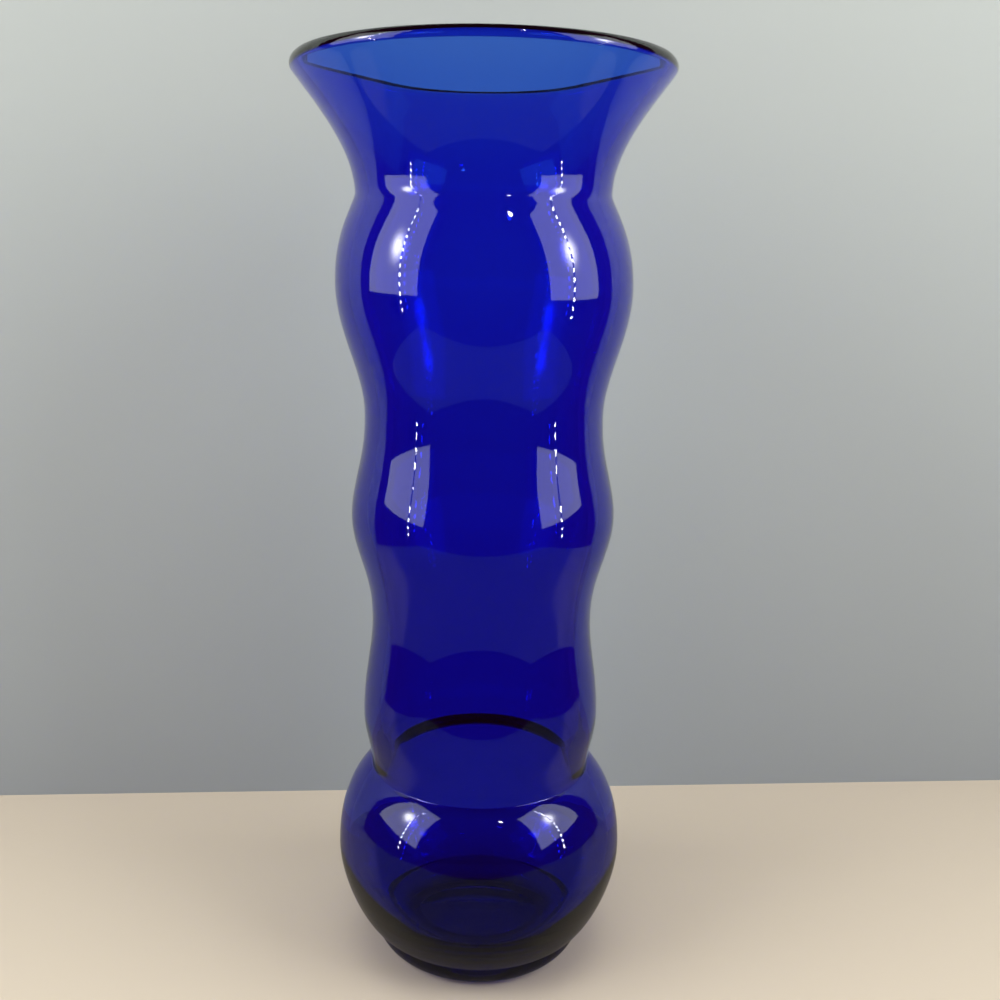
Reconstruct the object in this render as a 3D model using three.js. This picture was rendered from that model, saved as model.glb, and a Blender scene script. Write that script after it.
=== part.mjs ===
// Ribbed vase: one piece of blown glass, turned about +Z. Millimetres, +Z up.
// The origin is on the axis, in the plane of the standing ring.
import * as THREE from "three";

// Foot band, its well rounded lower edge and the hollow under it
const footRadius = 37.7;
const footBandHeight = 8.7;
const footEdgeRounding = 8.3;
const standingRingWidth = 5.0;
const hollowDepth = 2.4;

// Globe: its widest place, and the rise from the foot band to it and from it to the crease
const globeRadius = 50.6;
const globeLowerRise = 30.1;
const globeUpperRise = 30.0;

// Crease between the globe and the body, which the globe's shoulder enters at an angle above the horizontal
const creaseRadius = 38.7;
const creaseRounding = 1.0;
const shoulderAngle = THREE.MathUtils.degToRad(34);

// Swells and waists of the body: each has a radius and its rise above the one below it
const lowerSwellRadius = 41.3;
const lowerSwellRise = 18.8;
const lowerWaistRadius = 38.0;
const lowerWaistRise = 34.1;
const middleSwellRadius = 44.7;
const middleSwellRise = 37.0;
const upperWaistRadius = 39.9;
const upperWaistRise = 34.7;
const upperSwellRadius = 48.5;
const upperSwellRise = 42.0;
const throatRadius = 41.2;
const throatRise = 28.1;

// Flare from the throat to the lip, whose edge is a full round
const mouthRadius = 60.4;
const flareRise = 40.5;
const lipRadius = 1.4;
const flareAngle = THREE.MathUtils.degToRad(36.7);

// Thickness of the wall: the gather is heavy round the foot, thinnest where the globe was blown out widest, and
// thins again up the body to the lip
const wallAtFoot = 14.5;
const wallAtBelly = 4.4;
const wallAtCrease = 5.8;
const wallAtThroat = 4.6;

// Floor of the hollow on the axis, and the height above it at which the inner wall starts to turn into it
const floorThickness = 16.0;
const floorTurn = 6.0;

// Share of its span that a curve runs straight on from each of its ends
const globeFromFoot = 0.37;
const globeLiftAtFoot = 0.06;
const globeBelowBelly = 0.38;
const globeAboveBelly = 0.7;
const globeIntoCrease = 0.25;
const flareFromThroat = 0.34;
const flareIntoLip = 0.32;
const floorFromWall = 0.5;
const floorFromAxis = 0.6;
const hollowFromAxis = 0.5;

// Lean of each flank between a waist and a swell: 1 is an even wave, and less is fuller near the waist
const lowerSwellLean = 1;
const lowerWaistLean = 0.9;
const middleSwellLean = 1.21;
const upperWaistLean = 1.18;
const upperSwellLean = 0.94;
const throatLean = 0.58;

// Fineness of the facets
const facetsRound = 48;
const facetHeight = 6.4;
const fewestFacets = 3;
const extraFacetsOverBelly = 1;
const facetsOfFootEdge = 5;
const facetsOfRounding = 3;
const facetsOfLip = 7;

// A point of the section: x is the radius and y the height above the standing ring.
function at(radius, height) {
  return new THREE.Vector2(radius, height);
}

function facetsFor(start, end) {
  return Math.max(fewestFacets, Math.round(start.distanceTo(end) / facetHeight));
}

// The points of a curve after its start, with a handle for each end.
function curve(start, startHandle, endHandle, end, steps) {
  return new THREE.CubicBezierCurve(start, startHandle, endHandle, end).getPoints(steps).slice(1);
}

// The points of an arc after its start.
function arc(centre, radius, startAngle, endAngle, steps) {
  const points = [];
  for (let step = 1; step <= steps; step++) {
    const angle = THREE.MathUtils.lerp(startAngle, endAngle, step / steps);
    points.push(at(centre.x + radius * Math.cos(angle), centre.y + radius * Math.sin(angle)));
  }
  return points;
}

// Half a wave of the wall, from a waist up to a swell or from a swell up to a waist.
function flank(start, end, waist, lean) {
  const swell = waist === start ? end : start;
  const steps = facetsFor(start, end);
  const points = [];
  for (let step = 1; step <= steps; step++) {
    const up = step / steps;
    const fromWaist = waist === start ? up : 1 - up;
    const bulge = (1 - Math.cos(Math.PI * fromWaist ** lean)) / 2;
    const radius = THREE.MathUtils.lerp(waist.x, swell.x, bulge);
    points.push(at(radius, THREE.MathUtils.lerp(start.y, end.y, up)));
  }
  return points;
}

// Stations of the outer wall, from the foot up
const footTop = at(footRadius, footBandHeight);
const belly = at(globeRadius, footTop.y + globeLowerRise);
const creaseCorner = at(creaseRadius, belly.y + globeUpperRise);
const creaseTop = at(creaseRadius, creaseCorner.y + creaseRounding);
const lowerSwell = at(lowerSwellRadius, creaseTop.y + lowerSwellRise);
const lowerWaist = at(lowerWaistRadius, lowerSwell.y + lowerWaistRise);
const middleSwell = at(middleSwellRadius, lowerWaist.y + middleSwellRise);
const upperWaist = at(upperWaistRadius, middleSwell.y + upperWaistRise);
const upperSwell = at(upperSwellRadius, upperWaist.y + upperSwellRise);
const throat = at(throatRadius, upperSwell.y + throatRise);
const height = throat.y + flareRise;
const lipCentre = at(mouthRadius - lipRadius, height - lipRadius);

// Foot band to the crease: the globe springs out over the band, and its shoulder runs in under the body.
function globeWall() {
  const reach = belly.x - footTop.x;
  const creaseCentre = at(creaseTop.x + creaseRounding, creaseTop.y);
  const enterAngle = -Math.PI / 2 - shoulderAngle;
  const creaseStart = at(
    creaseCentre.x + creaseRounding * Math.cos(enterAngle),
    creaseCentre.y + creaseRounding * Math.sin(enterAngle),
  );
  const shoulderRun = globeIntoCrease * (belly.x - creaseStart.x);
  const outOfFoot = at(footTop.x + globeFromFoot * reach, footTop.y + globeLiftAtFoot * globeLowerRise);
  const underBelly = at(belly.x, belly.y - globeBelowBelly * globeLowerRise);
  const overBelly = at(belly.x, belly.y + globeAboveBelly * globeUpperRise);
  const intoCrease = at(
    creaseStart.x + shoulderRun * Math.cos(shoulderAngle),
    creaseStart.y - shoulderRun * Math.sin(shoulderAngle),
  );
  return [
    footTop,
    ...curve(footTop, outOfFoot, underBelly, belly, facetsFor(footTop, belly)),
    ...curve(belly, overBelly, intoCrease, creaseStart, facetsFor(belly, creaseStart) + extraFacetsOverBelly),
    ...arc(creaseCentre, creaseRounding, enterAngle, -Math.PI, facetsOfRounding),
  ];
}

// Crease to the throat: three swells with a waist after each.
function bodyWall() {
  return [
    ...flank(creaseTop, lowerSwell, creaseTop, lowerSwellLean),
    ...flank(lowerSwell, lowerWaist, lowerWaist, lowerWaistLean),
    ...flank(lowerWaist, middleSwell, lowerWaist, middleSwellLean),
    ...flank(middleSwell, upperWaist, upperWaist, upperWaistLean),
    ...flank(upperWaist, upperSwell, upperWaist, upperSwellLean),
    ...flank(upperSwell, throat, throat, throatLean),
  ];
}

// Throat to the place where the flare meets the round of the lip.
function flareWall() {
  const lipStart = at(
    lipCentre.x + lipRadius * Math.cos(flareAngle),
    lipCentre.y - lipRadius * Math.sin(flareAngle),
  );
  const overThroat = at(throat.x, throat.y + flareFromThroat * flareRise);
  const underLip = at(
    lipStart.x - flareIntoLip * flareRise * Math.sin(flareAngle),
    lipStart.y - flareIntoLip * flareRise * Math.cos(flareAngle),
  );
  return curve(throat, overThroat, underLip, lipStart, facetsFor(throat, lipStart));
}

// Thickness of the wall at a height of its outer face, eased from each station to the next.
function wallAt(y) {
  const stations = [
    [footTop.y, wallAtFoot],
    [belly.y, wallAtBelly],
    [creaseTop.y, wallAtCrease],
    [throat.y, wallAtThroat],
    [height, 2 * lipRadius],
  ];
  let wall = wallAtFoot;
  for (let index = 1; index < stations.length; index++) {
    const [lowEnd, wallBelow] = stations[index - 1];
    const [highEnd, wallAbove] = stations[index];
    wall += (wallAbove - wallBelow) * THREE.MathUtils.smoothstep(y, lowEnd, highEnd);
  }
  return wall;
}

// The inner wall runs beside the outer one, a wall's thickness inside it.
function innerWall(outer) {
  const points = [];
  for (let index = 1; index < outer.length; index++) {
    const here = outer[index];
    const next = outer[Math.min(index + 1, outer.length - 1)];
    const along = next.clone().sub(outer[index - 1]).normalize();
    const wall = wallAt(here.y);
    const inside = at(here.x - wall * along.y, here.y + wall * along.x);
    if (inside.y > floorThickness + floorTurn) points.push(inside);
  }
  return points.reverse();
}

// The whole section, from the axis under the foot, up outside, over the lip and down to the axis inside.
function section() {
  const outer = [...globeWall(), ...bodyWall(), ...flareWall()];
  const inner = innerWall(outer);
  const ringInner = footRadius - footEdgeRounding - standingRingWidth;
  const hollowTop = at(0, hollowDepth);
  const hollowEdge = at(ringInner, 0);
  const hollowHandle = at(hollowFromAxis * ringInner, hollowDepth);
  const edgeCentre = at(footRadius - footEdgeRounding, footEdgeRounding);
  const wallEnd = inner.at(-1);
  const wallDown = wallEnd.clone().sub(inner.at(-2)).normalize();
  const floorCentre = at(0, floorThickness);
  const wallHandle = wallEnd.clone().addScaledVector(wallDown, floorFromWall * (wallEnd.y - floorThickness));
  const floorHandle = at(floorFromAxis * wallEnd.x, floorThickness);
  return [
    hollowTop,
    ...curve(hollowTop, hollowHandle, hollowEdge, hollowEdge, facetsOfRounding),
    at(edgeCentre.x, 0),
    ...arc(edgeCentre, footEdgeRounding, -Math.PI / 2, 0, facetsOfFootEdge),
    ...outer,
    ...arc(lipCentre, lipRadius, -flareAngle, Math.PI - flareAngle, facetsOfLip),
    ...inner.slice(1),
    ...curve(wallEnd, wallHandle, floorHandle, floorCentre, facetsFor(wallEnd, floorCentre)),
  ];
}

const glass = new THREE.MeshStandardMaterial({
  color: 0x1c1c9c,
  roughness: 0.04,
  metalness: 0,
  transparent: true,
  opacity: 0.85,
});

const vaseGeometry = new THREE.LatheGeometry(section(), facetsRound).rotateX(Math.PI / 2);
const vase = new THREE.Mesh(vaseGeometry, glass);
vase.name = "vase";

const group = new THREE.Group();
group.add(vase);

export default group;
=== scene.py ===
import bpy
import math
from mathutils import Matrix


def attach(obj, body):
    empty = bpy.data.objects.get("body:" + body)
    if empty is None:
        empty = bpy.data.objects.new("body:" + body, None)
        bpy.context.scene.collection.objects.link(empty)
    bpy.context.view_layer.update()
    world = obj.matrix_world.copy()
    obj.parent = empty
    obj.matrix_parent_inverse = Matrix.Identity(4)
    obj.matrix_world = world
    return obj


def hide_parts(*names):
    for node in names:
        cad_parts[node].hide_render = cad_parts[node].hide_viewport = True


# A ribbed vase of blown cobalt glass. Metres, +Z up, the standing ring at height 0.
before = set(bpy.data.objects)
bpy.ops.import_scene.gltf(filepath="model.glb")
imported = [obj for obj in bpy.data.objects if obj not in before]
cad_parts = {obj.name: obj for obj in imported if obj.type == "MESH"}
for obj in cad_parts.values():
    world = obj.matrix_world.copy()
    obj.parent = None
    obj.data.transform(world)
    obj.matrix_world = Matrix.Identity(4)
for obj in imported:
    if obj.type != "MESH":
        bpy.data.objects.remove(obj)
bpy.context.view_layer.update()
scene = bpy.context.scene
scene.view_settings.view_transform = "Standard"
print("frame loaded")


# Small helpers for building node trees

def addNode(tree, kind, **settings):
    made = tree.nodes.new(kind)
    for name, value in settings.items():
        setattr(made, name, value)
    return made


def feed(tree, socket, value):  # a link where value is a socket, and otherwise a plain setting
    if isinstance(value, Amount):
        value = value.socket
    if isinstance(value, bpy.types.NodeSocket):
        tree.links.new(value, socket)
    else:
        socket.default_value = value


def work(tree, operation, *values):
    made = addNode(tree, "ShaderNodeMath", operation=operation)
    for socket, value in zip(made.inputs, values):
        feed(tree, socket, value)
    return Amount(tree, made.outputs[0])


class Amount:  # a number in a node tree, so that a formula can be written as one
    def __init__(self, tree, socket):
        self.tree = tree
        self.socket = socket

    def __add__(self, other):
        return work(self.tree, "ADD", self, other)

    def __sub__(self, other):
        return work(self.tree, "SUBTRACT", self, other)

    def __rsub__(self, other):
        return work(self.tree, "SUBTRACT", other, self)

    def __mul__(self, other):
        return work(self.tree, "MULTIPLY", self, other)

    def __truediv__(self, other):
        return work(self.tree, "DIVIDE", self, other)

    __radd__ = __add__
    __rmul__ = __mul__


def squared(value):
    return value * value


def ramp(tree, value, low, high, change, curve="LINEAR"):  # rises from 0 at low to change at high
    made = addNode(tree, "ShaderNodeMapRange", interpolation_type=curve)
    settings = {"Value": value, "From Min": low, "From Max": high, "To Min": 0.0, "To Max": change}
    for label, setting in settings.items():
        feed(tree, made.inputs[label], setting)
    return Amount(tree, made.outputs[0])


def eased(tree, value, low, high, change):  # the same, with a soft start and end
    return ramp(tree, value, low, high, change, "SMOOTHSTEP")


def addNoise(tree, place, scale, detail, **settings):
    noise = addNode(tree, "ShaderNodeTexNoise", **settings)
    feed(tree, noise.inputs["Vector"], place)
    feed(tree, noise.inputs["Scale"], scale)
    feed(tree, noise.inputs["Detail"], detail)
    return noise


def spotAt(tree, x, y, z):
    spot = addNode(tree, "ShaderNodeCombineXYZ")
    for socket, value in zip(spot.inputs, (x, y, z)):
        feed(tree, socket, value)
    return spot.outputs[0]


def movePoints(tree, geometry, x, y, z):
    moved = addNode(tree, "GeometryNodeSetPosition")
    feed(tree, moved.inputs["Geometry"], geometry)
    feed(tree, moved.inputs["Position"], spotAt(tree, x, y, z))
    return moved.outputs[0]


def inRadians(angle):
    return angle * math.pi / 180


def aroundAxis(tree, radius, angle):
    return radius * work(tree, "COSINE", angle), radius * work(tree, "SINE", angle)


def pointIndex(tree):
    return Amount(tree, addNode(tree, "GeometryNodeInputIndex").outputs[0])


def makeTree(name, inputs, build):
    tree = bpy.data.node_groups.new(name, "GeometryNodeTree")
    tree.interface.new_socket("Geometry", in_out="OUTPUT", socket_type="NodeSocketGeometry")
    for label, socketType in inputs.items():
        tree.interface.new_socket(label, in_out="INPUT", socket_type=socketType)
    given = addNode(tree, "NodeGroupInput")
    sockets = {label: Amount(tree, given.outputs[label]) for label in inputs}
    geometry = build(tree, sockets)
    tree.links.new(geometry, addNode(tree, "NodeGroupOutput").inputs[0])
    return tree


# The camera stands close to the vase, as for the photograph. The shift sets the vase left of the middle.
photographView = {
    "lensMm": 39.06,
    "sensorMm": 36.0,
    "back": 0.3621,
    "up": 0.2467,
    "tiltDown": 12.825,
    "roll": 0.716,
    "shift": 0.0171,
}


def makeCamera(view):
    data = bpy.data.cameras.new("photographView")
    data.lens = view["lensMm"]
    data.sensor_width = view["sensorMm"]
    data.shift_x = view["shift"]
    camera = bpy.data.objects.new("photographView", data)
    scene.collection.objects.link(camera)
    tilt = Matrix.Rotation(math.radians(90 - view["tiltDown"]), 4, "X")
    roll = Matrix.Rotation(math.radians(view["roll"]), 4, "Z")
    place = Matrix.Translation((0, -view["back"], view["up"]))
    camera.matrix_world = place @ tilt @ roll
    scene.camera = camera


makeCamera(photographView)
print("camera set")


# The glass: clear and polished, and so deeply coloured that two walls of it let little but blue through.
glassFinish = {
    "refraction": 1.51,
    "absorption": (0.044, 0.46, 0.956),
    "absorptionDensity": 900,  # per metre
    "waveScale": 14,  # the scale of a noise is per metre
    "waveDetail": 1.0,
    "waveDepth": 0.00006,
    "smudgeScale": 22,
    "smudgeDetail": 2.0,
    "smudgeStarts": 0.45,
    "smudgeFull": 0.8,
    "smudgeRoughness": 0.02,
}


def makeGlass(finish):
    glass = bpy.data.materials.new("cobaltGlass")
    glass.use_nodes = True
    tree = glass.node_tree
    tree.nodes.clear()
    place = addNode(tree, "ShaderNodeTexCoord").outputs["Object"]
    waves = addNoise(tree, place, finish["waveScale"], finish["waveDetail"])
    bump = addNode(tree, "ShaderNodeBump")
    feed(tree, bump.inputs["Strength"], 1.0)
    feed(tree, bump.inputs["Distance"], finish["waveDepth"])
    feed(tree, bump.inputs["Height"], waves.outputs[0])
    smudges = addNoise(tree, place, finish["smudgeScale"], finish["smudgeDetail"]).outputs[0]
    shine = ramp(tree, smudges, finish["smudgeStarts"], finish["smudgeFull"], finish["smudgeRoughness"])
    surface = addNode(tree, "ShaderNodeBsdfPrincipled")
    surface.inputs["Base Color"].default_value = (1, 1, 1, 1)
    surface.inputs["Transmission Weight"].default_value = 1.0
    surface.inputs["IOR"].default_value = finish["refraction"]
    feed(tree, surface.inputs["Roughness"], shine)
    feed(tree, surface.inputs["Normal"], bump.outputs[0])
    inside = addNode(tree, "ShaderNodeVolumeAbsorption")
    inside.inputs["Color"].default_value = (*finish["absorption"], 1)
    inside.inputs["Density"].default_value = finish["absorptionDensity"]
    output = addNode(tree, "ShaderNodeOutputMaterial")
    tree.links.new(surface.outputs[0], output.inputs["Surface"])
    tree.links.new(inside.outputs[0], output.inputs["Volume"])
    return glass


# The vase: its section is drawn from these sizes and turned about the axis. Sizes are in metres and angles in
# degrees; the shares, the leans and the waver have no unit.
vaseSizes = {
    "Foot Radius": 0.0377,
    "Foot Band Height": 0.0087,
    "Foot Edge Rounding": 0.0083,
    "Standing Ring Width": 0.005,
    "Hollow Depth": 0.0024,
    "Globe Radius": 0.0506,
    "Globe Lower Rise": 0.0301,  # each rise is the height of a place above the one before it
    "Globe Upper Rise": 0.0305,
    "Crease Radius": 0.0387,
    "Crease Rounding": 0.0005,
    "Shoulder Angle": 34.0,
    "Lower Swell Radius": 0.0413,
    "Lower Swell Rise": 0.0188,
    "Lower Waist Radius": 0.038,
    "Lower Waist Rise": 0.0341,
    "Middle Swell Radius": 0.0447,
    "Middle Swell Rise": 0.037,
    "Upper Waist Radius": 0.0399,
    "Upper Waist Rise": 0.0347,
    "Upper Swell Radius": 0.0485,
    "Upper Swell Rise": 0.042,
    "Throat Radius": 0.0412,
    "Throat Rise": 0.0281,
    "Mouth Radius": 0.0604,
    "Flare Rise": 0.0405,
    "Lip Outer Half": 0.0029,  # the lip is a wide quarter oval outside and a small one inside
    "Lip Inner Half": 0.0003,
    "Lip Outer Length": 0.0025,
    "Lip Inner Length": 0.0003,
    "Flare Angle": 36.7,
    "Wall At Foot": 0.006,  # the wall's thickness, eased from each place to the next
    "Wall At Belly": 0.0044,
    "Wall At Crease": 0.0058,
    "Wall At Throat": 0.0044,
    "Wall At Flare": 0.0035,
    "Flare Share": 0.6,  # how far up the flare its wall is given
    "Floor Thickness": 0.0065,
    "Floor Turn": 0.019,  # height above the floor at which the inner wall starts to turn into it
    "Globe From Foot": 0.37,  # share of its span that a curve runs straight on from an end, as those below
    "Globe Lift At Foot": 0.06,  # share of the lower rise that it climbs on that stretch
    "Globe Below Belly": 0.38,
    "Globe Above Belly": 0.7,
    "Globe Into Crease": 0.25,
    "Flare From Throat": 0.34,
    "Flare Into Lip": 0.32,
    "Floor From Wall": 0.62,
    "Floor From Axis": 0.62,
    "Hollow From Axis": 0.5,
    "Lower Swell Lean": 1.0,  # 1 is an even wave, and less is fuller near the waist
    "Lower Waist Lean": 0.9,
    "Middle Swell Lean": 1.21,
    "Upper Waist Lean": 1.18,
    "Upper Swell Lean": 0.94,
    "Throat Lean": 0.58,
    "Waver": 0.008,  # share of the radius, from the narrowest place to the widest
    "Waver Scale": 16.0,  # per metre
    "Mouth Lean": 0.0014,
    "Lean Starts": 0.2,  # height above which the vase leans, to the left
}
vaseFineness = {"Facets Round": 224, "Points Of Flank": 16, "Points Of Bend": 22, "Points Of Rounding": 13}
waverSeed = 7.0
waverDetail = 1.0
lineGap = 0.00001  # the ends of two lines that are closer than this become one point
seamGap = 0.000002  # and so do the points of the turned grid, at its seam and on the axis


def lineOfPoints(tree, count, radius, height):  # both are formulas of the share of the line so far
    line = addNode(tree, "GeometryNodeMeshLine")
    feed(tree, line.inputs["Count"], count)
    along = pointIndex(tree) / (count - 1)
    return movePoints(tree, line.outputs[0], radius(along), 0.0, height(along))


def drawFlank(tree, given):  # half a wave of the wall, up to a swell or on to the waist above it
    def radius(up):
        fromWaist = work(tree, "ABSOLUTE", given["Swell First"] - up)
        leaning = work(tree, "POWER", fromWaist, given["Lean"])
        bulge = (1 - work(tree, "COSINE", leaning * math.pi)) / 2
        return given["Waist Radius"] + (given["Swell Radius"] - given["Waist Radius"]) * bulge

    def height(up):
        return given["Start Height"] + given["Rise"] * up

    return lineOfPoints(tree, given["Points"], radius, height)


def drawBend(tree, given):  # a cubic curve between two ends, with a handle for each
    def along(part):
        def formula(t):
            back = 1 - t
            early = given["Start " + part] * back + 3 * given["Start Handle " + part] * t
            late = 3 * given["End Handle " + part] * back + given["End " + part] * t
            return early * back * back + late * t * t
        return formula

    return lineOfPoints(tree, given["Points"], along("Radius"), along("Height"))


def drawRounding(tree, given):  # an arc about a centre, from one angle to another
    def angle(t):
        return given["Start Angle"] + (given["End Angle"] - given["Start Angle"]) * t

    def radius(t):
        return given["Centre Radius"] + given["Radius"] * work(tree, "COSINE", angle(t))

    def height(t):
        return given["Centre Height"] + given["Radius"] * work(tree, "SINE", angle(t))

    return lineOfPoints(tree, given["Points"], radius, height)


def drawLip(tree, given):  # the end of the wall, rounded over by a wide oval outside and a small one inside
    def insideOf(t):
        return work(tree, "GREATER_THAN", t, 0.5)

    def side(t):
        half = given["Outer Half"] + (given["Inner Half"] - given["Outer Half"]) * insideOf(t)
        return half * work(tree, "COSINE", t * math.pi)

    def end(t):
        lost = (given["Outer Length"] - given["Inner Length"]) * insideOf(t)
        return lost + (given["Outer Length"] - lost) * work(tree, "SINE", t * math.pi)

    def radius(t):
        return given["Centre Radius"] + side(t) * given["Cosine"] + end(t) * given["Sine"]

    def height(t):
        return given["Centre Height"] - side(t) * given["Sine"] + end(t) * given["Cosine"]

    return lineOfPoints(tree, given["Points"], radius, height)


def numbers(*labels):
    return {label: "NodeSocketFloat" for label in labels}


pointsInput = {"Points": "NodeSocketInt"}
flankTree = makeTree(
    "vaseFlank",
    numbers("Waist Radius", "Swell Radius", "Start Height", "Rise", "Lean", "Swell First") | pointsInput,
    drawFlank,
)
bendEnds = [
    end + part
    for end in ("Start ", "Start Handle ", "End Handle ", "End ")
    for part in ("Radius", "Height")
]
bendTree = makeTree("vaseBend", numbers(*bendEnds) | pointsInput, drawBend)
roundingTree = makeTree(
    "vaseRounding",
    numbers("Centre Radius", "Centre Height", "Radius", "Start Angle", "End Angle") | pointsInput,
    drawRounding,
)
lipTree = makeTree(
    "vaseLip",
    numbers(
        "Centre Radius", "Centre Height", "Outer Half", "Inner Half",
        "Outer Length", "Inner Length", "Cosine", "Sine",
    ) | pointsInput,
    drawLip,
)


def useTree(tree, inner, *values):
    made = addNode(tree, "GeometryNodeGroup", node_tree=inner)
    for socket, value in zip(made.inputs, values):
        feed(tree, socket, value)
    return made.outputs[0]


def join(tree, pieces):  # the points of the pieces in order, with the ends that meet made one point
    joined = addNode(tree, "GeometryNodeJoinGeometry")
    for piece in reversed(pieces):
        tree.links.new(piece, joined.inputs[0])
    merged = addNode(tree, "GeometryNodeMergeByDistance")
    feed(tree, merged.inputs["Geometry"], joined.outputs[0])
    feed(tree, merged.inputs["Distance"], lineGap)
    return merged.outputs[0]


def countOf(tree, geometry):
    size = addNode(tree, "GeometryNodeAttributeDomainSize", component="MESH")
    tree.links.new(geometry, size.inputs[0])
    return Amount(tree, size.outputs["Point Count"])


def pointOf(tree, geometry, index):  # the radius and height of one of a line's points
    place = addNode(tree, "GeometryNodeInputPosition").outputs[0]
    sample = addNode(tree, "GeometryNodeSampleIndex", data_type="FLOAT_VECTOR", domain="POINT", clamp=True)
    tree.links.new(geometry, sample.inputs["Geometry"])
    feed(tree, sample.inputs["Value"], place)
    feed(tree, sample.inputs["Index"], index)
    parts = addNode(tree, "ShaderNodeSeparateXYZ")
    tree.links.new(sample.outputs[0], parts.inputs[0])
    return Amount(tree, parts.outputs["X"]), Amount(tree, parts.outputs["Z"])


def directionOf(tree, start, end):  # the unit vector from one point to another
    across = end[0] - start[0]
    up = end[1] - start[1]
    length = work(tree, "SQRT", squared(across) + squared(up))
    return across / length, up / length


def drawGlobe(tree, size):  # from the foot band up to the tight crease
    footTop = (size["Foot Radius"], size["Foot Band Height"])
    belly = (size["Globe Radius"], footTop[1] + size["Globe Lower Rise"])
    rounding = size["Crease Rounding"]
    centre = (size["Crease Radius"] + rounding, belly[1] + size["Globe Upper Rise"] + rounding)
    slope = inRadians(size["Shoulder Angle"])
    cosine = work(tree, "COSINE", slope)
    sine = work(tree, "SINE", slope)
    enter = (centre[0] - rounding * sine, centre[1] - rounding * cosine)
    reach = belly[0] - footTop[0]
    run = size["Globe Into Crease"] * (belly[0] - enter[0])
    underBelly = useTree(
        tree, bendTree, *footTop,
        footTop[0] + size["Globe From Foot"] * reach,
        footTop[1] + size["Globe Lift At Foot"] * size["Globe Lower Rise"],
        belly[0], belly[1] - size["Globe Below Belly"] * size["Globe Lower Rise"],
        *belly, size["Points Of Bend"],
    )
    shoulder = useTree(
        tree, bendTree, *belly,
        belly[0], belly[1] + size["Globe Above Belly"] * size["Globe Upper Rise"],
        enter[0] + run * cosine, enter[1] - run * sine,
        *enter, size["Points Of Bend"],
    )
    enterAngle = -math.pi / 2 - slope
    creaseRound = useTree(
        tree, roundingTree, *centre, rounding, enterAngle, -math.pi, size["Points Of Rounding"],
    )
    return [underBelly, shoulder, creaseRound], footTop[1], belly[1], centre[1]


def drawBody(tree, size, height):  # from the crease up to the throat: three swells, with a waist after each
    pieces = []
    points = size["Points Of Flank"]
    below = "Crease"
    for above in ("Lower Swell", "Lower Waist", "Middle Swell", "Upper Waist", "Upper Swell", "Throat"):
        swellFirst = "Swell" in below
        swell, waist = (below, above) if swellFirst else (above, below)
        radii = (size[waist + " Radius"], size[swell + " Radius"])
        rise = size[above + " Rise"]
        lean = size[above + " Lean"]
        pieces.append(useTree(tree, flankTree, *radii, height, rise, lean, float(swellFirst), points))
        height = height + rise
        below = above
    return pieces, height


def drawFlare(tree, size, throat):  # from the throat up to the lip, and the round of the lip
    top = throat + size["Flare Rise"]
    angle = inRadians(size["Flare Angle"])
    cosine = work(tree, "COSINE", angle)
    sine = work(tree, "SINE", angle)
    outerHalf, innerHalf = size["Lip Outer Half"], size["Lip Inner Half"]
    outerLength, innerLength = size["Lip Outer Length"], size["Lip Inner Length"]
    overhang = work(tree, "SQRT", squared(outerHalf * cosine) + squared(outerLength * sine))
    headroom = work(tree, "SQRT", squared(innerHalf * sine) + squared(innerLength * cosine))
    lip = (size["Mouth Radius"] - overhang, top - headroom - (outerLength - innerLength) * cosine)
    flareEnd = (lip[0] + outerHalf * cosine, lip[1] - outerHalf * sine)
    pull = size["Flare Into Lip"] * size["Flare Rise"]
    flare = useTree(
        tree, bendTree, size["Throat Radius"], throat,
        size["Throat Radius"], throat + size["Flare From Throat"] * size["Flare Rise"],
        flareEnd[0] - pull * sine, flareEnd[1] - pull * cosine,
        *flareEnd, size["Points Of Bend"],
    )
    lipRound = useTree(
        tree, lipTree, *lip, outerHalf, innerHalf, outerLength, innerLength,
        cosine, sine, size["Points Of Rounding"],
    )
    return flare, lipRound, flareEnd[1]


def drawOuterWall(tree, size):
    globe, footTop, belly, crease = drawGlobe(tree, size)
    body, throat = drawBody(tree, size, crease)
    flare, lipRound, flareEnd = drawFlare(tree, size, throat)
    stations = [
        (footTop, size["Wall At Foot"]),
        (belly, size["Wall At Belly"]),
        (crease, size["Wall At Crease"]),
        (throat, size["Wall At Throat"]),
        (throat + size["Flare Rise"] * size["Flare Share"], size["Wall At Flare"]),
        (flareEnd, size["Lip Outer Half"] + size["Lip Inner Half"]),
    ]
    return join(tree, [*globe, *body, flare]), lipRound, stations


def wallAt(tree, stations, height):  # thick at the foot and in the crease, and thinnest at the lip
    wall = stations[0][1]
    for (low, wallBelow), (high, wallAbove) in zip(stations, stations[1:]):
        wall = wall + eased(tree, height, low, high, wallAbove - wallBelow)
    return wall


def drawInnerWall(tree, size, outer, stations):  # back down beside the outer wall, one thickness inside it
    count = countOf(tree, outer)
    line = addNode(tree, "GeometryNodeMeshLine")
    feed(tree, line.inputs["Count"], count)
    index = count - 1 - pointIndex(tree)
    radius, height = pointOf(tree, outer, index)
    across, up = directionOf(tree, pointOf(tree, outer, index - 1), pointOf(tree, outer, index + 1))
    wall = wallAt(tree, stations, height)
    beside = movePoints(tree, line.outputs[0], radius - wall * up, 0.0, height + wall * across)
    place = addNode(tree, "ShaderNodeSeparateXYZ")
    feed(tree, place.inputs[0], addNode(tree, "GeometryNodeInputPosition").outputs[0])
    turn = size["Floor Thickness"] + size["Floor Turn"]
    cut = addNode(tree, "GeometryNodeDeleteGeometry", domain="POINT")
    feed(tree, cut.inputs["Geometry"], beside)
    feed(tree, cut.inputs["Selection"], work(tree, "LESS_THAN", Amount(tree, place.outputs["Z"]), turn))
    return cut.outputs[0]


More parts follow.
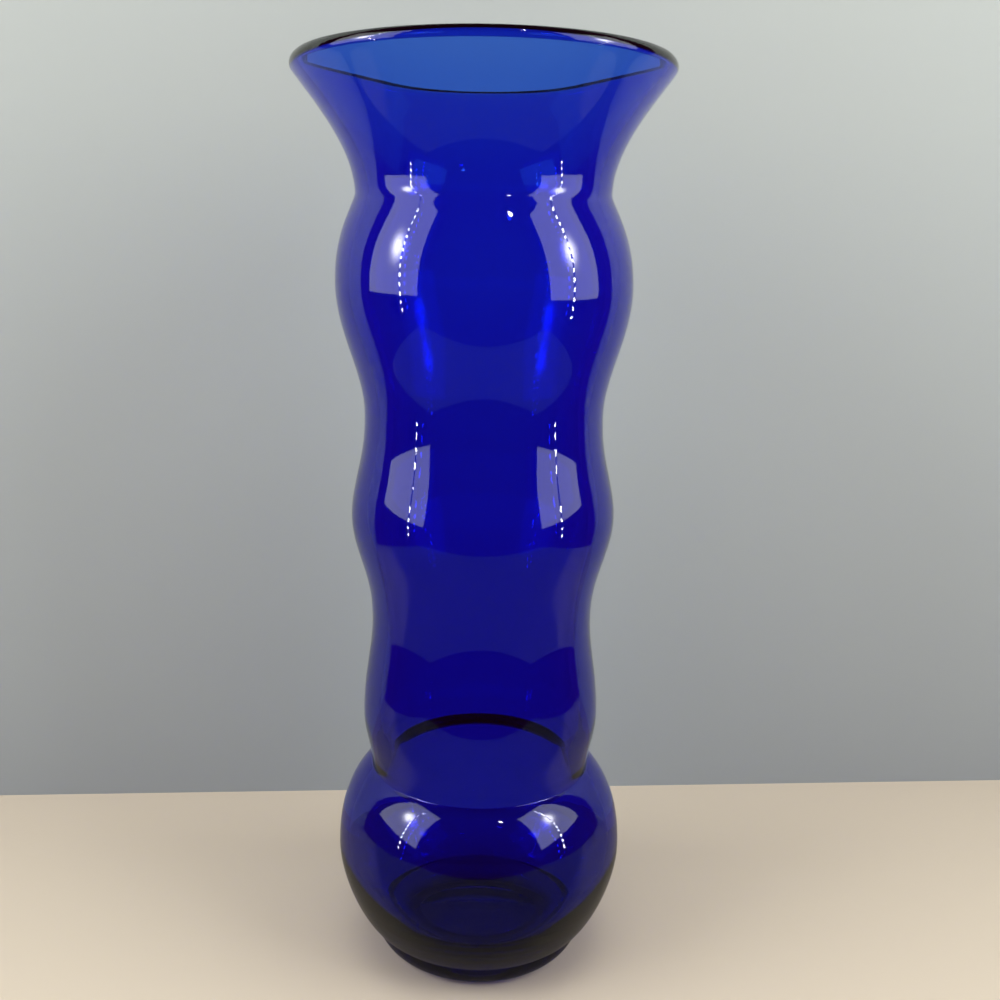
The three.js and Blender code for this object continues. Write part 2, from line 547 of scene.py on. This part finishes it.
def drawSection(tree, size):  # from the axis under the foot, up outside, over the lip and down inside
    outer, lipRound, stations = drawOuterWall(tree, size)
    inner = drawInnerWall(tree, size, outer, stations)
    last = countOf(tree, inner) - 1
    wallEnd = pointOf(tree, inner, last)
    wallDown = directionOf(tree, pointOf(tree, inner, last - 1), wallEnd)
    floorHeight = size["Floor Thickness"]
    drop = (wallEnd[1] - floorHeight) * size["Floor From Wall"]
    floor = useTree(
        tree, bendTree, *wallEnd,
        wallEnd[0] + wallDown[0] * drop, wallEnd[1] + wallDown[1] * drop,
        wallEnd[0] * size["Floor From Axis"], floorHeight,
        0.0, floorHeight, size["Points Of Bend"],
    )
    rounding = size["Foot Edge Rounding"]
    footEdge = size["Foot Radius"] - rounding
    ringEdge = footEdge - size["Standing Ring Width"]
    hollow = useTree(
        tree, bendTree, 0.0, size["Hollow Depth"], ringEdge * size["Hollow From Axis"], size["Hollow Depth"],
        ringEdge, 0.0, ringEdge, 0.0, size["Points Of Bend"],
    )
    footRound = useTree(
        tree, roundingTree, footEdge, rounding, rounding, -math.pi / 2, 0.0, size["Points Of Rounding"],
    )
    lipHeight = stations[-1][0]
    return join(tree, [hollow, footRound, outer, lipRound, inner, floor]), lipHeight


def waverOf(tree, size, radius, angle, height):  # how much wider than true the hand-blown wall is at a place
    spot = spotAt(tree, *aroundAxis(tree, radius, angle), height)
    noise = addNoise(tree, spot, size["Waver Scale"], waverDetail, noise_dimensions="4D")
    feed(tree, noise.inputs["W"], waverSeed)
    return 1 + (Amount(tree, noise.outputs[0]) - 0.5) * size["Waver"]


def turnVase(tree, size):
    section, lipHeight = drawSection(tree, size)
    # Every point of the section becomes one ring of a grid, whose columns go round the axis.
    columns = size["Facets Round"] + 1
    grid = addNode(tree, "GeometryNodeMeshGrid")
    feed(tree, grid.inputs["Vertices X"], countOf(tree, section))
    feed(tree, grid.inputs["Vertices Y"], columns)
    index = pointIndex(tree)
    row = work(tree, "FLOOR", (index + 0.5) / columns)
    angle = (row * columns - index) * (2 * math.pi) / size["Facets Round"]
    trueRadius, height = pointOf(tree, section, row)
    radius = trueRadius * waverOf(tree, size, trueRadius, angle, height)
    lean = eased(tree, height, size["Lean Starts"], lipHeight, size["Mouth Lean"])
    x, y = aroundAxis(tree, radius, angle)
    turned = movePoints(tree, grid.outputs["Mesh"], x - lean, y, height)
    closed = addNode(tree, "GeometryNodeMergeByDistance")
    feed(tree, closed.inputs["Geometry"], turned)
    feed(tree, closed.inputs["Distance"], seamGap)
    smooth = addNode(tree, "GeometryNodeSetShadeSmooth")
    feed(tree, smooth.inputs["Geometry"], closed.outputs[0])
    real = addNode(tree, "GeometryNodeRealizeInstances")
    feed(tree, real.inputs[0], smooth.outputs[0])
    finished = addNode(tree, "GeometryNodeSetMaterial")
    feed(tree, finished.inputs["Geometry"], real.outputs[0])
    feed(tree, finished.inputs["Material"], size["Glass"])
    return finished.outputs[0]


def makeVase(glass):
    inputs = numbers(*vaseSizes) | {label: "NodeSocketInt" for label in vaseFineness}
    inputs["Glass"] = "NodeSocketMaterial"
    tree = makeTree("turnedVase", inputs, turnVase)
    vase = bpy.data.objects.new("blownVase", bpy.data.meshes.new("blownVase"))
    scene.collection.objects.link(vase)
    turning = vase.modifiers.new("turning", "NODES")
    turning.node_group = tree
    values = vaseSizes | vaseFineness | {"Glass": glass}
    for socket in tree.interface.items_tree:
        if socket.in_out == "INPUT":
            turning[socket.identifier] = values[socket.name]
    graph = bpy.context.evaluated_depsgraph_get()
    mesh = bpy.data.meshes.new_from_object(vase.evaluated_get(graph))
    vase.modifiers.clear()
    vase.data = mesh
    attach(vase, "root")
    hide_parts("vase")
    return vase


glass = makeGlass(glassFinish)
vase = makeVase(glass)
print("vase turned:", len(vase.data.vertices), "points,", len(vase.data.polygons), "faces")


# The stage: a pale cloth floor, a grey backdrop close behind the vase, and on each side a bright wall with a
# row of small lamps on an upright strip before it. The room in front is dark.
stageSizes = {
    "floorSize": 8.0,
    "clothHalfWidth": 0.4,
    "clothFront": -0.345,
    # painted shade for glossy rays: near the vase they see one share of the cloth's colour, easing down to
    # the shaded share toward the front
    "shadeStarts": -0.03,
    "shadeEnds": -0.06,
    "paintedMirrorShare": 0.45,
    "shadedShare": 0.2,
    "backdropY": 0.108,
    "backdropTurn": 3.3,
    "backdropHalfWidth": 0.45,
    "backdropHeight": 0.75,
    "floorColour": (0.607, 0.54, 0.42),
    # the backdrop's grey is painted darker at the foot, a painted shade that fades out by the height where it
    # is pale
    "backdropShadedFoot": (0.37, 0.415, 0.435),
    "backdropTop": (0.48, 0.53, 0.505),
    "backdropPaleAbove": 0.35,
}
sideWall = {
    "x": 0.555,
    "bottomBack": (0.01, 0.19),  # each corner's place along +Y and its height
    "topBack": (-0.02, 0.8),
    "topFront": (-0.58, 1.0),
    "bottomFront": (-0.48, 0.14),
    "light": 4.6,
    "lightMirrored": 2.3,
    "glow": 26.0,
    "glowPlace": (-0.225, 0.45),
    "glowWidth": 0.05,
    "glowHeight": 0.075,
}
lampStrip = {
    "x": 0.545,
    "leftY": -0.28,
    "rightY": -0.22,
    "width": 0.013,
    "bottom": 0.03,
    "top": 0.79,
    "pitch": 0.053,
    "share": 0.42,
    "light": 50.0,
}
roomLamp = {"place": (0.31, -0.66, 0.98), "width": 0.05, "light": 60.0}
overheadLamp = {"place": (0.0, -0.15, 1.25), "width": 0.9, "watts": 9.0}
# the world's colours; the floor past the cloth also glows with the dim one, as a painted reflection of the
# dark room
roomLight = {"seen": (0.55, 0.55, 0.545), "mirrored": (0.09, 0.018, 0.05)}


def flatPiece(name, corners, material):
    mesh = bpy.data.meshes.new(name)
    mesh.from_pydata(corners, [], [(0, 1, 2, 3)])
    mesh.materials.append(material)
    piece = bpy.data.objects.new(name, mesh)
    scene.collection.objects.link(piece)
    return piece


def plainMaterial(name, build):
    material = bpy.data.materials.new(name)
    material.use_nodes = True
    tree = material.node_tree
    tree.nodes.clear()
    shader = build(tree)
    tree.links.new(shader, addNode(tree, "ShaderNodeOutputMaterial").inputs["Surface"])
    return material


def mixShaders(tree, factor, first, second):
    mix = addNode(tree, "ShaderNodeMixShader")
    feed(tree, mix.inputs[0], factor)
    tree.links.new(first, mix.inputs[1])
    tree.links.new(second, mix.inputs[2])
    return mix.outputs[0]


def matte(tree, colour):
    shader = addNode(tree, "ShaderNodeBsdfDiffuse")
    feed(tree, shader.inputs["Color"], colour if isinstance(colour, bpy.types.NodeSocket) else (*colour, 1))
    return shader.outputs[0]


def glowing(tree, strength, colour=(1, 1, 1)):
    shader = addNode(tree, "ShaderNodeEmission")
    shader.inputs["Color"].default_value = (*colour, 1)
    feed(tree, shader.inputs["Strength"], strength)
    return shader.outputs[0]


def placeParts(tree):
    parts = addNode(tree, "ShaderNodeSeparateXYZ")
    tree.links.new(addNode(tree, "ShaderNodeTexCoord").outputs["Object"], parts.inputs[0])
    return {output.name: Amount(tree, output) for output in parts.outputs}


def pathIs(tree, kind):
    return Amount(tree, addNode(tree, "ShaderNodeLightPath").outputs["Is %s Ray" % kind])


def clearFromBehind(tree, shader):
    behind = addNode(tree, "ShaderNodeNewGeometry").outputs["Backfacing"]
    return mixShaders(tree, behind, shader, addNode(tree, "ShaderNodeBsdfTransparent").outputs[0])


def buildFloor(tree):  # to glossy rays the cloth is painted darker, a painted shade that deepens toward the front, and past its edge the floor glows dimly, a painted reflection of the dark room
    place = placeParts(tree)
    beside = work(tree, "GREATER_THAN", work(tree, "ABSOLUTE", place["X"]), stageSizes["clothHalfWidth"])
    before = work(tree, "LESS_THAN", place["Y"], stageSizes["clothFront"])
    mirrored = pathIs(tree, "Glossy")
    lost = stageSizes["paintedMirrorShare"] - stageSizes["shadedShare"]
    shade = eased(tree, 0 - place["Y"], -stageSizes["shadeStarts"], -stageSizes["shadeEnds"], lost)
    share = stageSizes["paintedMirrorShare"] - shade
    cloth = matte(tree, stageSizes["floorColour"])
    # painted shade: glossy rays see the cloth darkened to its share of its colour
    cloth = mixShaders(tree, (1 - share) * mirrored, cloth, matte(tree, (0, 0, 0)))
    # painted reflection: past the cloth's edge glossy rays see the floor glow dimly, standing for the dark
    # room
    room = glowing(tree, 1.0, roomLight["mirrored"])
    return mixShaders(tree, work(tree, "MAXIMUM", beside, before) * mirrored, cloth, room)


def buildBackdrop(tree):  # clear from behind, so that it hides nothing there; its grey is painted darker toward the foot, a painted shade
    height = placeParts(tree)["Z"]
    blend = addNode(tree, "ShaderNodeMix", data_type="RGBA")
    feed(tree, blend.inputs["Factor"], height / stageSizes["backdropPaleAbove"])
    for label, colour in (("A", stageSizes["backdropShadedFoot"]), ("B", stageSizes["backdropTop"])):
        socket = next(item for item in blend.inputs if item.name == label and item.type == "RGBA")
        socket.default_value = (*colour, 1)
    shadedGrey = next(item for item in blend.outputs if item.type == "RGBA")
    return clearFromBehind(tree, matte(tree, shadedGrey))


def buildSideWall(tree):  # where the glass mirrors it, it is dimmer and has one bright round patch
    place = placeParts(tree)
    across = (place["Y"] - sideWall["glowPlace"][0]) / sideWall["glowWidth"]
    up = (place["Z"] - sideWall["glowPlace"][1]) / sideWall["glowHeight"]
    glow = work(tree, "EXPONENT", 0 - (squared(across) + squared(up))) * sideWall["glow"]
    extra = (glow + sideWall["lightMirrored"] - sideWall["light"]) * pathIs(tree, "Glossy")
    return clearFromBehind(tree, glowing(tree, extra + sideWall["light"]))


def buildLampStrip(tree):  # a dark strip with a row of short bright lamps up it
    height = placeParts(tree)["Z"]
    lit = work(tree, "LESS_THAN", work(tree, "FRACT", height / lampStrip["pitch"]), lampStrip["share"])
    return clearFromBehind(tree, glowing(tree, lit * lampStrip["light"]))


def sidePiece(name, side, x, corners, material):  # an upright piece at one side, which faces the vase
    corners = [(side * x, *corner) for corner in corners]
    piece = flatPiece(name, corners if side < 0 else corners[::-1], material)
    piece.visible_camera = False
    return piece


def makeStage(sizes):
    half = sizes["floorSize"] / 2
    corners = [(-half, -half, 0), (half, -half, 0), (half, half, 0), (-half, half, 0)]
    flatPiece("stageFloor", corners, plainMaterial("floorCloth", buildFloor))
    width = sizes["backdropHalfWidth"]
    lean = width * math.tan(math.radians(sizes["backdropTurn"]))
    left, right = sizes["backdropY"] - lean, sizes["backdropY"] + lean
    top = sizes["backdropHeight"]
    corners = [(-width, left, 0), (width, right, 0), (width, right, top), (-width, left, top)]
    flatPiece("stageBackdrop", corners, plainMaterial("backdropGrey", buildBackdrop))


def makeLights(wall, strip):
    wallMaterial = plainMaterial("sideWallLight", buildSideWall)
    stripMaterial = plainMaterial("lampStripLight", buildLampStrip)
    wallCorners = [wall[corner] for corner in ("bottomFront", "bottomBack", "topBack", "topFront")]
    for side, name, y in ((-1, "Left", strip["leftY"]), (1, "Right", strip["rightY"])):
        sidePiece("stageWall" + name, side, wall["x"], wallCorners, wallMaterial)
        front, back = y - strip["width"] / 2, y + strip["width"] / 2
        bottom, top = strip["bottom"], strip["top"]
        stripCorners = [(front, bottom), (back, bottom), (back, top), (front, top)]
        lamps = sidePiece("stageLamps" + name, side, strip["x"], stripCorners, stripMaterial)
        lamps.visible_diffuse = False


def makeRoomLamp(sizes):  # a small far lamp, seen only as a spark on the swell and the globe
    x, y, z = sizes["place"]
    half = sizes["width"] / 2
    left, right = x - half, x + half
    bottom, top = z - half, z + half
    corners = [(left, y, bottom), (left, y, top), (right, y, top), (right, y, bottom)]
    material = plainMaterial("roomLampLight", lambda tree: glowing(tree, sizes["light"]))
    lamp = flatPiece("stageRoomLamp", corners, material)
    lamp.visible_camera = False
    lamp.visible_diffuse = False


def makeOverheadLamp(sizes):
    data = bpy.data.lights.new("overheadLamp", "AREA")
    data.size = sizes["width"]
    data.energy = sizes["watts"]
    lamp = bpy.data.objects.new("overheadLamp", data)
    lamp.location = sizes["place"]
    lamp.visible_glossy = False
    lamp.visible_transmission = False
    scene.collection.objects.link(lamp)


def makeWorld(light):  # pale to the camera and through the glass, and dark to all other rays
    world = bpy.data.worlds.new("studio")
    scene.world = world
    world.use_nodes = True
    tree = world.node_tree
    tree.nodes.clear()
    seen = work(tree, "MAXIMUM", pathIs(tree, "Camera"), pathIs(tree, "Transmission"))
    backgrounds = []
    for colour in (light["mirrored"], light["seen"]):
        background = addNode(tree, "ShaderNodeBackground")
        background.inputs["Color"].default_value = (*colour, 1)
        backgrounds.append(background.outputs[0])
    shader = mixShaders(tree, seen, *backgrounds)
    tree.links.new(shader, addNode(tree, "ShaderNodeOutputWorld").inputs["Surface"])


makeStage(stageSizes)
makeLights(sideWall, lampStrip)
makeRoomLamp(roomLamp)
makeOverheadLamp(overheadLamp)
makeWorld(roomLight)
print("stage and lights set")
